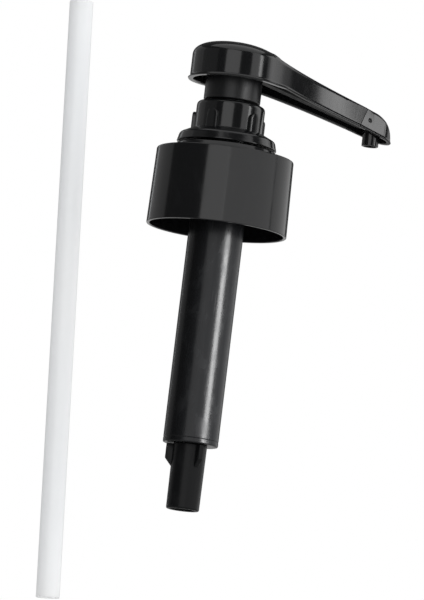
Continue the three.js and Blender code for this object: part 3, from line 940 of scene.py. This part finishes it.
@dataclass
class HeadForm:
    """The shape that the palm disc, the arm and the nozzle share."""

    radius: float = 23.6
    rim_z: float = 44.2
    edge_z: float = 57.2
    edge: float = 2.4
    crown: float = 8.0
    crown_power: float = 2.1
    crown_back: float = 2.3
    root_angle: float = 62.0
    settled_half: float = 7.0
    slope: float = 0.212
    top_z: float = 58.8
    top_x: float = 19.5
    top_slope: float = 0.2455
    seam_x: float = 73.2
    seam_lean: float = 0.35
    seam_edge: float = 1.5
    camber: float = 0.35
    fillet: float = 1.2
    rim_blend: float = 1.5
    outer_fall: float = 12.0
    root_fade: float = 2.4
    root_fall: float = 6.0

    @property
    def tangent_x(self) -> float:
        """Where the arm's sides leave the disc."""
        return self.radius * math.cos(math.radians(self.root_angle))

    def half(self, x: Array) -> Array:
        """Half the arm's width: it starts on the disc's tangent and settles by an exponential.

        Args:
            x: Distance along the spout.

        Returns:
            Half the width at each x.
        """
        root = math.radians(self.root_angle)
        spread = self.radius * math.sin(root) - self.settled_half
        length = spread * math.tan(root)
        return self.settled_half + spread * np.exp(-(x - self.tangent_x) / length)

    def under(self, x: Array) -> Array:
        """Height of the lower edge: level under the disc, then falling at the arm's slope."""
        past = x - self.radius
        return self.rim_z - self.slope * 0.5 * (past + np.sqrt(past**2 + self.rim_blend**2))

    def arm_top(self, x: Array) -> Array:
        """Height of the arm's ridge line, a straight fall."""
        return self.top_z - self.top_slope * (x - self.top_x)

    def dome(self, x: Array, y: Array) -> Array:
        """Height of the disc's top: a squarish half-ellipse, its peak set back from the spout.

        The set-back fades to nothing at the outline, and outside it the height falls steeply.

        Args:
            x: Distance along the spout.
            y: Distance across it.

        Returns:
            The height at each point.
        """
        r = np.hypot(x, y)
        share = np.clip(r / self.radius, 0, 1)
        back = np.hypot(x + self.crown_back * (1 - share**6), y)
        bulge = self.crown * np.sqrt(1 - np.clip(back / self.radius, 0, 1) ** self.crown_power)
        return self.edge_z + bulge - self.outer_fall * np.maximum(r - self.radius, 0)

    def edge_drop(self, depth: Array, radius: Array) -> Array:
        """How far a round edge has dropped, a depth d in: r - root(r squared - (r - d) squared)."""
        left = np.clip(radius - depth, 0, radius)
        return radius - np.sqrt(radius**2 - left**2)

    def head_top(self, x: Array, y: Array, depth: Array) -> Array:
        """Height of the head's top surface: the dome and the cambered arm, joined by a fillet.

        Args:
            x: Distance along the spout.
            y: Distance across it.
            depth: Distance in from the outline.

        Returns:
            The height at each point.
        """
        radius = np.interp(x, [self.tangent_x, self.seam_x], [self.edge, self.seam_edge])
        share = np.clip(np.abs(y) / self.half(np.maximum(x, self.tangent_x)), 0, 1)
        arm = self.arm_top(x) - self.camber * share**2 - self.edge_drop(depth, radius)
        arm -= self.root_fall * np.maximum((self.tangent_x + self.root_fade - x) / 3, 0) ** 2
        return smooth_max(self.dome(x, y), arm, self.fillet)


@dataclass
class Outline:
    """A plan outline, its mates on the middle line and its outward directions."""

    edge: Array
    spine: Array

    @classmethod
    def mirrored(cls, side: Array, side_x: Array, bend: Array, bend_x: float) -> "Outline":
        """An outline that runs along one side, round a bend and back along the side's mirror image.

        Args:
            side: Points of the side, in plan.
            side_x: Where each of them has its mate on the middle line.
            bend: Points of the bend.
            bend_x: Where all of those have theirs.

        Returns:
            The outline.
        """
        edge = np.concatenate([side, bend, (side * (1, -1))[::-1]])
        x = np.concatenate([side_x, np.full(len(bend), bend_x), side_x[::-1]])
        return cls(edge, np.stack([x, 0 * x], axis=1))

    def outward(self) -> Array:
        """Which way is out at each point of the outline.

        Returns:
            Unit vectors square to the outline, pointing away from the spine.
        """
        along = np.gradient(self.edge, axis=0)
        normal = np.stack([along[:, 1], -along[:, 0]], axis=1)
        normal /= np.linalg.norm(normal, axis=1, keepdims=True)
        away = np.sum(normal * (self.edge - self.spine), axis=1, keepdims=True)
        return normal * np.where(away < 0, -1, 1)


@dataclass
class OpenShell:
    """A moulded shell, open below and at its seam end, from an outline and height functions.

    Each column starts on the lower edge, climbs the side wall, turns over a round edge and runs
    in to the spine. The inner skin repeats it one wall in and one wall down, and strips join the
    two skins along the lower edge and the seam.
    """

    outline: Outline
    top: Callable[[Array, Array, Array], Array]
    under: Callable[[Array], Array]
    lip: Array
    lip_height: float
    wall: float
    lean: Callable[[Array], Array]
    wall_rows: int = 26
    top_rows: int = 70
    edge_rows: int = 11
    least_rise: float = 0.3
    lip_slant: float = 0.62
    foot_round: float = 0.25
    foot_height: float = 0.3
    edge_reach: float = 2.2

    def skin(self, inset: float) -> Array:
        """One skin of the shell.

        Args:
            inset: How far inside the outer skin it lies; 0 is the outer skin.

        Returns:
            Points, a row from the lower edge to the spine for each column of the outline.
        """
        outward = self.outline.outward()
        edge = self.outline.edge - outward * inset
        low = self.under(edge[:, 0])
        brim = self.top(edge[:, 0], edge[:, 1], np.full(len(edge), inset)) - inset
        brim = np.maximum(brim, low + self.least_rise)
        climb = np.linspace(0, 1, self.wall_rows)[None, :]
        z_wall = low[:, None] + (brim - low)[:, None] * climb
        rise = z_wall - low[:, None]
        flare = np.clip((self.lip_height - rise) / (self.lip_height * self.lip_slant), 0, 1)
        flare *= inset == 0
        round_foot = self.foot_round * np.clip(1 - rise / self.foot_height, 0, 1) ** 2
        flare = self.lip[:, None] * flare - round_foot * (1 if inset == 0 else -1)
        wall_plan = edge[:, None, :] + outward[:, None, :] * flare[..., None]
        wall = np.concatenate([wall_plan, z_wall[..., None]], axis=-1)
        length = np.linalg.norm(self.outline.spine - edge, axis=1)[:, None]
        bend = np.linspace(0, math.pi / 2, self.edge_rows + 1)[1:]
        start = self.edge_reach * (1 - np.cos(bend))[None, :] / np.maximum(length, SHORTEST_MM)
        start = np.minimum(start, 0.5)
        rest = np.linspace(0, 1, self.top_rows + 1)[1:][None, :]
        share = np.concatenate([start, start[:, -1:] + (1 - start[:, -1:]) * rest], axis=1)
        plan = edge[:, None, :] + (self.outline.spine - edge)[:, None, :] * share[..., None]
        squareness = np.abs(np.sum(outward * (edge - self.outline.spine), axis=1))
        squareness = squareness[:, None] / length
        depth = inset + share * length * squareness
        x = plan[..., 0] + self.lean(plan[..., 0]) * np.maximum(brim - low, 0)[:, None]
        z = self.top(x, plan[..., 1], depth) - inset
        z = np.maximum(z, self.under(x) + self.least_rise)
        roof = np.stack([plan[..., 0], plan[..., 1], z], axis=-1)
        points = np.concatenate([wall, roof], axis=1)
        rise = points[..., 2] - self.under(points[..., 0])
        points[..., 0] += self.lean(points[..., 0]) * rise
        return points

    def sheets(self) -> list[Sheet]:
        """The whole shell.

        Returns:
            Its outer skin, its inner skin and the strips that join them.
        """
        outer, inner = self.skin(0.0), self.skin(self.wall)
        foot = np.stack([outer[:, 0], inner[:, 0]], axis=1)
        ends = [np.stack([outer[end], inner[end]], axis=1) for end in (0, -1)]
        return [Sheet(outer), Sheet(inner), Sheet(foot), *(Sheet(end) for end in ends)]


@dataclass
class Head(Piece):
    """Palm disc and drooping arm, one moulding."""

    form: HeadForm
    wall: float = 2.0
    lip: float = 1.0
    arm_lip: float = 0.4
    lip_height: float = 1.3
    lip_fade: float = 14.0
    lean_power: int = 5
    arm_columns: int = 130
    disc_columns: int = 210
    plug_radius: float = 5.05
    plug_low: float = 56.2
    plug_high: float = 64.0

    def build(self) -> None:
        """Makes the head and the plug under its crown."""
        f = self.form
        x = f.seam_x + (f.tangent_x - f.seam_x) * np.linspace(0, 1, self.arm_columns)
        root = math.radians(f.root_angle)
        swing = np.linspace(root, 2 * math.pi - root, self.disc_columns)[1:-1]
        left = np.stack([x, f.half(x)], axis=1)
        disc = f.radius * np.stack([np.cos(swing), np.sin(swing)], axis=1)
        spine_x = (x - f.tangent_x) / (f.seam_x - f.tangent_x) * f.seam_x
        outline = Outline.mirrored(left, spine_x, disc, 0.0)
        on_arm = np.clip((outline.edge[:, 0] - f.tangent_x) / self.lip_fade, 0, 1)
        lip = self.lip + (self.arm_lip - self.lip) * on_arm

        def lean(px: Array) -> Array:
            """The seam's lean, which grows from nothing at the disc."""
            along = np.clip((px - f.radius) / (f.seam_x - f.radius), 0, 1)
            return f.seam_lean * along**self.lean_power

        shell = OpenShell(outline, f.head_top, f.under, lip, self.lip_height, self.wall, lean)
        head = solid_object("palm_head_and_arm", shell.sheets(), 55)
        self.finish(head, self.finishes.gloss, Body.HEAD, ["actuator_head"])
        low, high, radius = self.plug_low, self.plug_high, self.plug_radius
        corners = [(0, low, 0), (radius, low, 0.4), (radius, high, 0), (0, high, 0)]
        plug = turned(softened(corners, closed=False), sides=64, closed=False)
        self.finish(solid_object("crown_plug", [plug]), self.finishes.gloss, Body.HEAD)


@dataclass
class Nozzle(Piece):
    """Snapped-on spout end: round nose, falling top, dimpled cheeks and the outlet tube."""

    form: HeadForm
    gap: float = 0.35
    half: float = 7.2
    wall: float = 1.8
    fall_x: float = 82.0
    outlet_x: float = 85.15
    outlet_radius: float = 4.5
    outlet_bore: float = 3.3
    outlet_top: float = 40.4
    dimple_x: float = 79.4
    dimple_rise: float = 5.8
    dimple_radius: float = 1.0
    dimple_depth: float = 0.7
    lip: float = 0.4
    lip_height: float = 1.3
    nose_drop: float = 0.6
    fall_reach: float = 7.5
    fall_lift: float = 0.2
    nose_reach: float = 2.2
    nose_height: float = 3.2
    upright_x: float = 81.5

    def fall(self, x: Array, nose: float) -> Array:
        """Height of the top line: the arm's line, then a cubic curve down to the nose.

        Args:
            x: Distance along the spout.
            nose: Where the nose ends.

        Returns:
            The height at each x.
        """
        f = self.form
        t = np.linspace(0, 1, 80)[:, None]
        reach = self.fall_x + self.fall_reach
        control = np.array([
            (self.fall_x, f.arm_top(self.fall_x)),
            (reach, f.arm_top(reach) + self.fall_lift),
            (nose - self.nose_reach, f.arm_top(nose) - self.nose_height),
            (nose, f.under(np.array(nose)) - self.nose_drop),
        ])
        weights = np.concatenate([(1 - t) ** 3, 3 * t * (1 - t) ** 2, 3 * t**2 * (1 - t), t**3], axis=1)
        curve = weights @ control
        return np.where(x < self.fall_x, f.arm_top(x), np.interp(x, curve[:, 0], curve[:, 1]))

    def build(self) -> None:
        """Makes the nozzle and its outlet tube."""
        f = self.form
        low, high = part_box("nozzle_tip")
        nose = high.x / MM - self.lip
        start = f.seam_x + self.gap
        centre = nose - self.half
        x = np.linspace(start, centre, 75)
        side = np.interp(x, [start, centre], [float(f.half(np.array(start))), self.half])
        swing = np.linspace(math.pi / 2, -math.pi / 2, 90)[1:-1]
        left = np.stack([x, side], axis=1)
        round_nose = np.stack([centre + self.half * np.cos(swing), self.half * np.sin(swing)], axis=1)
        outline = Outline.mirrored(left, x, round_nose, centre)

        def under(px: Array) -> Array:
            """The nozzle's lower edge: the arm's line, a little deeper towards the nose."""
            return f.under(px) - self.nose_drop * np.clip((px - start) / (nose - start), 0, 1)

        def top(px: Array, py: Array, depth: Array) -> Array:
            """The nozzle's top: its top line, less the camber and the round edge."""
            camber = f.camber * np.clip(np.abs(py) / self.half, 0, 1) ** 2
            return self.fall(px, nose) - camber - f.edge_drop(depth, np.full(px.shape, f.seam_edge))

        def lean(px: Array) -> Array:
            """The seam's lean, which fades to nothing towards the nose."""
            return f.seam_lean * np.clip((self.upright_x - px) / (self.upright_x - start), 0, 1)

        lip = np.full(len(outline.edge), self.lip)
        shell = OpenShell(
            outline, top, under, lip, self.lip_height, self.wall, lean, wall_rows=40, top_rows=34
        )
        sheets = shell.sheets()
        skin = sheets[0].points
        rise = skin[..., 2] - under(skin[..., 0])
        away = np.hypot(skin[..., 0] - self.dimple_x, rise - self.dimple_rise) / self.dimple_radius
        cheek = np.abs(skin[..., 1]) > self.half - 1.5
        skin[..., 1] -= np.sign(skin[..., 1]) * cheek * self.dimple_depth * np.clip(1 - away**4, 0, 1)
        tip = solid_object("nozzle_shell", sheets, 55)
        self.finish(tip, self.finishes.gloss, Body.HEAD, ["nozzle_tip"])
        tube = turned(softened([
            (self.outlet_bore, low.z / MM, 0.4),
            (self.outlet_radius, low.z / MM, 0.5),
            (self.outlet_radius, self.outlet_top, 0.1),
            (self.outlet_bore, self.outlet_top, 0.1),
        ]), 96)
        placed = Sheet(tube.points + (self.outlet_x, 0, 0), True, True)
        self.finish(solid_object("outlet_tube", [placed]), self.finishes.gloss, Body.HEAD)


@dataclass
class Channel(Piece):
    """Duct under the arm, a rounded box section from the boss to the nozzle."""

    form: HeadForm
    width: float = 7.4
    height: float = 6.0
    corner: float = 1.3
    rise: float = 1.7
    start_x: float = 15.4
    end_x: float = 79.0
    columns: int = 64
    end_size: float = 0.88

    def build(self) -> None:
        """Makes the duct: one section carried down the arm's slope, shrunk to nothing at each end."""
        f = self.form
        swing = np.linspace(0, 2 * math.pi, self.columns, endpoint=False) + math.pi / self.columns
        wide, tall = self.width / 2 - self.corner, self.height / 2 - self.corner
        y = np.sign(np.cos(swing)) * wide + self.corner * np.cos(swing)
        z = np.sign(np.sin(swing)) * tall + self.corner * np.sin(swing)
        along = np.concatenate([[0, 0, 0.25], np.linspace(1, 59, 30), [59.75, 60, 60]]) / 60
        size = np.concatenate([[0, self.end_size, 1], np.ones(30), [1, self.end_size, 0]])
        x = self.start_x + (self.end_x - self.start_x) * along
        middle = f.rim_z - f.slope * (x - f.radius) + self.rise + self.height / 2
        points = np.stack([
            x[:, None] + 0 * swing, size[:, None] * y, middle[:, None] + size[:, None] * z
        ], axis=-1)
        duct = solid_object("spout_duct", [Sheet(points, wrap_columns=True)], 50)
        self.finish(duct, self.finishes.dull, Body.HEAD, ["spout_channel"])


# ---- working parts


@dataclass
class WorkingParts(Piece):
    """Stem, return spring and valve balls: working parts that the pump holds inside."""

    wire: float = 0.62
    coils: float = 9.0
    coil_radius: float = 10.2
    coil_rows: int = 560
    end_closing: float = 0.07
    stem_bore: float = 2.8
    stem_groove: float = 4.1
    stem_groove_z: float = 41.4
    stem_groove_width: float = 1.9

    def ball(self, node: str, body: Body) -> None:
        """A ground ball: x = r sin v cos u, y = r sin v sin u, z = r cos v, about the node's middle.

        Args:
            node: The CAD node it stands for.
            body: The body that it rides on.
        """
        low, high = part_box(node)
        radius = (high.z - low.z) / 2 / MM
        middle = (high.z + low.z) / 2 / MM
        fall = np.linspace(0, math.pi, 33)
        profile = np.stack([radius * np.sin(fall), middle + radius * np.cos(fall)], axis=1)
        made = solid_object(f"{node}_ground", [turned(profile, 48, False)])
        self.finish(made, self.finishes.steel, body, [node])

    def spring(self) -> None:
        """The return spring: a round wire on a helix whose end coils lie closer, with ground ends."""
        low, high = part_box("return_spring")
        bottom, top = low.z / MM + self.wire, high.z / MM - self.wire
        t = np.linspace(0, 1, self.coil_rows)
        turn = 2 * math.pi * self.coils * t
        bunching = 4 * math.pi
        centre = np.stack([
            self.coil_radius * np.cos(turn), self.coil_radius * np.sin(turn),
            bottom + (top - bottom) * (t - self.end_closing * np.sin(bunching * t) / bunching),
        ], axis=1)
        along = np.gradient(centre, axis=0)
        along /= np.linalg.norm(along, axis=1, keepdims=True)
        out = np.stack([np.cos(turn), np.sin(turn), 0 * turn], axis=1)
        side = np.cross(along, out)
        swing = np.linspace(0, 2 * math.pi, 12, endpoint=False)
        size = self.wire * np.concatenate([[0], np.ones(len(t) - 2), [0]])[:, None, None]
        swing = swing[None, :, None]
        ring = out[:, None] * np.cos(swing) + side[:, None] * np.sin(swing)
        wire = Sheet(centre[:, None] + size * ring, wrap_columns=True)
        made = solid_object("return_spring_wire", [wire])
        self.finish(made, self.finishes.steel, Body.PISTON, ["return_spring"])

    def build(self) -> None:
        """Makes the stem, the spring and the balls."""
        stem = Span("stem")
        groove, groove_z = self.stem_groove, self.stem_groove_z
        groove_top = groove_z + self.stem_groove_width
        profile = softened([
            (self.stem_bore, stem.bottom, 0.3), (stem.radius, stem.bottom, 0.5),
            (stem.radius, groove_z, 0.1), (groove, groove_z, 0.1),
            (groove, groove_top, 0.1), (stem.radius, groove_top, 0.1),
            (stem.radius, stem.top, 0.5), (self.stem_bore, stem.top, 0.3),
        ])
        made = solid_object("stem_tube", [turned(profile, 96)])
        self.finish(made, self.finishes.natural, Body.HEAD, ["stem"])
        self.spring()
        self.ball("outlet_ball", Body.OUTLET_VALVE)
        self.ball("inlet_ball", Body.INLET_VALVE)


@dataclass
class DipTube(Piece):
    """The loose dip tube: straight, square cut, leaning a little beside the pump."""

    radius: float = 6.35
    bore: float = 4.75
    length: float = 323.0
    foot: Triple = (-26.7, 92.3, -232.0)
    lean: float = 3.8
    heading: float = 153.0

    def build(self) -> None:
        """Makes the tube upright, then leans it about its foot."""
        profile = softened([
            (self.bore, 0, 0.15), (self.radius, 0, 0.25),
            (self.radius, self.length, 0.25), (self.bore, self.length, 0.15),
        ], step=3)
        sheet = turned(profile, 96)
        heading = math.radians(self.heading)
        axis = Vector((-math.sin(heading), math.cos(heading), 0))
        turn = np.array(Matrix.Rotation(math.radians(self.lean), 3, axis))
        leaning = sheet.points @ turn.T + np.array(self.foot)
        tube = solid_object("dip_tube_length", [Sheet(leaning, True, True)])
        self.finish(tube, self.finishes.tube, Body.PUMP, ["dip_tube"])


@dataclass
class CarriedNodes:
    """CAD nodes whose shape is right: they stay, and take a finish."""

    finishes: Finishes

    def dress(self) -> None:
        """Gives each carried node its material."""
        f = self.finishes
        looks = {
            "stem_guide": f.natural,
            "inlet_ball_cage": f.natural,
            "piston_body": f.natural,
            "piston_retainer": f.natural,
            "stroke_sleeve": f.natural,
            "neck_gasket": f.rubber,
            "stem_wiper": f.rubber,
            "tail_seal": f.rubber,
            "piston_seal": f.rubber,
            "stem_seal": f.rubber,
        }
        for node, look in looks.items():
            slots = frame["nodes"][node].data.materials
            slots.clear()
            slots.append(f.material(look))
            log.info("%s: carried node in %s", node, look.name)


# ---- studio


@dataclass
class Studio:
    """Camera, lights, white surround and pale floor."""

    heading: float = 27.0
    climb: float = 7.4
    roll: float = 6.91
    distance: float = 3.15
    target: Triple = (0.0, 0.0, -0.0716)
    shift_right: float = 0.0022
    lens_mm: float = 360
    sensor_mm: float = 36
    view_depth: float = 50
    lit_z: float = -0.05
    shade: float = 0.08
    floor_z: float = -0.5
    floor_half: float = 6.0
    upper_pieces: tuple[str, ...] = (
        "palm_head_and_arm", "crown_plug", "nozzle_shell", "outlet_tube", "spout_duct", "head_boss",
        "lock_collar",
    )

    def axes(self) -> tuple[Vector, Vector, Vector]:
        """The camera's right, up and forward directions before it is rolled.

        Returns:
            Three unit vectors.
        """
        turn, climb = math.radians(self.heading), math.radians(self.climb)
        right = Vector((math.cos(turn), -math.sin(turn), 0))
        level = Vector((math.sin(turn), math.cos(turn), 0))
        forward = level * math.cos(climb) + Vector((0, 0, math.sin(climb)))
        up = Vector((0, 0, math.cos(climb))) - level * math.sin(climb)
        return right, up, forward

    def camera(self) -> None:
        """A long lens far away, looking slightly up at the pump and rolled a little."""
        right, up, forward = self.axes()
        roll = math.radians(self.roll)
        across = right * math.cos(roll) + up * math.sin(roll)
        upward = up * math.cos(roll) - right * math.sin(roll)
        place = Vector(self.target) + right * self.shift_right - forward * self.distance
        data = bpy.data.cameras.new("studio_camera")
        data.lens = self.lens_mm
        data.sensor_width = self.sensor_mm
        data.clip_end = self.view_depth
        made = in_scene("studio_camera", data)
        turned_to = Matrix((across, upward, -forward)).transposed().to_4x4()
        made.matrix_world = Matrix.Translation(place) @ turned_to
        bpy.context.scene.camera = made

    def panel(
        self, name: str, azimuth: float, climb: float, distance: float,
        size: tuple[float, float], bright: float,
    ) -> bpy.types.Object:
        """A soft rectangular light facing the pump.

        Args:
            name: The light's name.
            azimuth: Degrees to the right of the camera, seen from the pump.
            climb: Degrees above level.
            distance: Metres from the pump.
            size: Width and height in metres.
            bright: Its radiance, where 1 shows as white.

        Returns:
            The light.
        """
        right, _, _ = self.axes()
        level = Vector((0, 0, 1)).cross(right)
        back = -level
        turn, rise = math.radians(azimuth), math.radians(climb)
        out = (back * math.cos(turn) + right * math.sin(turn)) * math.cos(rise)
        out += Vector((0, 0, math.sin(rise)))
        data = bpy.data.lights.new(name, "AREA")
        data.shape = "RECTANGLE"
        data.size, data.size_y = size
        data.energy = bright * math.pi * size[0] * size[1]
        made = in_scene(name, data)
        made.rotation_euler = out.to_track_quat("Z", "Y").to_euler()
        made.location = Vector((0, 0, self.lit_z)) + out * distance
        made.visible_camera = False
        return made

    def lit(self, name: str, chosen: Callable[[str], bool], *lights: bpy.types.Object) -> None:
        """Lets some lights reach only chosen pieces, as flags and cards do in a studio.

        Args:
            name: What the group of pieces is called.
            chosen: Whether a piece of a given name is lit.
            lights: The lights.
        """
        group = bpy.data.collections.new(name)
        for made in bpy.data.objects:
            if made.type == "MESH" and chosen(made.name):
                group.objects.link(made)
        for light in lights:
            light.light_linking.receiver_collection = group

    def lights(self) -> None:
        """Wide panels, a dim left fill and an overhead, with narrower cards for the upper pieces."""
        self.panel("far_right_panel", 124, 8, 2.4, (2.4, 3.0), 0.8)
        self.panel("left_fill", -125, 6, 2.6, (2.6, 3.0), 0.28)
        self.panel("low_back_panel", 180, -8, 2.4, (3.2, 0.5), 0.5)
        self.panel("overhead", 20, 80, 1.6, (2.4, 2.4), 0.9)
        self.lit(
            "lower_pieces", lambda name: not name.startswith(self.upper_pieces),
            self.panel("front_panel", -11, 0, 2.4, (1.6, 3.0), 1.3),
            self.panel("right_panel", 51, 4, 2.4, (4.6, 3.0), 1.0),
        )
        self.lit(
            "upper_pieces", lambda name: name.startswith(self.upper_pieces),
            self.panel("upper_front", -9, 3, 2.4, (1.6, 3.0), 1.35),
            self.panel("upper_middle", 53, 4, 2.4, (1.15, 3.0), 1.25),
            self.panel("upper_right", 104, 6, 2.4, (1.3, 3.0), 0.6),
            self.panel("upper_left", -75, 4, 2.4, (2.2, 3.0), 0.14),
            self.panel("arm_key", 67, 7, 2.2, (0.32, 1.2), 4.2),
        )
        self.lit(
            "barrel_only", lambda name: name.startswith("barrel"),
            self.panel("key_strip", 55, 4, 1.9, (0.64, 2.6), 27.0),
        )
        self.lit(
            "boss_only", lambda name: name.startswith("head_boss"),
            self.panel("soft_key", 50, 4, 1.9, (0.4, 2.6), 5.0),
        )

    def surround(self) -> None:
        """White to the camera and a dim grey for reflections and shade."""
        world = bpy.data.worlds.new("white_surround")
        world.use_nodes = True
        tree = world.node_tree
        seen = tree.nodes.new("ShaderNodeBackground")
        seen.inputs["Color"].default_value = (1, 1, 1, 1)
        dim = tree.nodes["Background"]
        dim.inputs["Color"].default_value = (1, 1, 1, 1)
        dim.inputs["Strength"].default_value = self.shade
        path = tree.nodes.new("ShaderNodeLightPath")
        mixer = tree.nodes.new("ShaderNodeMixShader")
        tree.links.new(path.outputs["Is Camera Ray"], mixer.inputs[0])
        tree.links.new(dim.outputs[0], mixer.inputs[1])
        tree.links.new(seen.outputs[0], mixer.inputs[2])
        tree.links.new(mixer.outputs[0], tree.nodes["World Output"].inputs["Surface"])
        bpy.context.scene.world = world
        bpy.context.scene.view_settings.view_transform = "Standard"

    def floor(self) -> None:
        """A pale matt floor well below the pump."""
        g = Graph("pale_floor")
        g.shade(Base_Color=g.mix(g.noise(3), (0.8, 0.8, 0.79), (0.76, 0.76, 0.76)), Roughness=0.8)
        half, z = self.floor_half, self.floor_z
        mesh = bpy.data.meshes.new("studio_floor")
        corners = [(-half, -half, z), (half, -half, z), (half, half, z), (-half, half, z)]
        mesh.from_pydata(corners, [], [(0, 1, 2, 3)])
        mesh.materials.append(g.material)
        made = in_scene("studio_floor", mesh)

    def build(self) -> None:
        """Sets up the whole studio."""
        self.camera()
        self.surround()
        self.floor()
        self.lights()


def main() -> None:
    """Builds the studio and every piece of the pump."""
    logging.basicConfig(level=logging.INFO, format="%(name)s: %(message)s")
    finishes = Finishes()
    form = HeadForm()
    for assembly in (
        Closure(finishes), Collar(finishes), Barrel(finishes), FootValve(finishes), Boss(finishes),
        Head(finishes, form), Nozzle(finishes, form), Channel(finishes, form), WorkingParts(finishes),
        DipTube(finishes),
    ):
        assembly.build()
    CarriedNodes(finishes).dress()
    Studio().build()


if __name__ == "__main__":
    main()
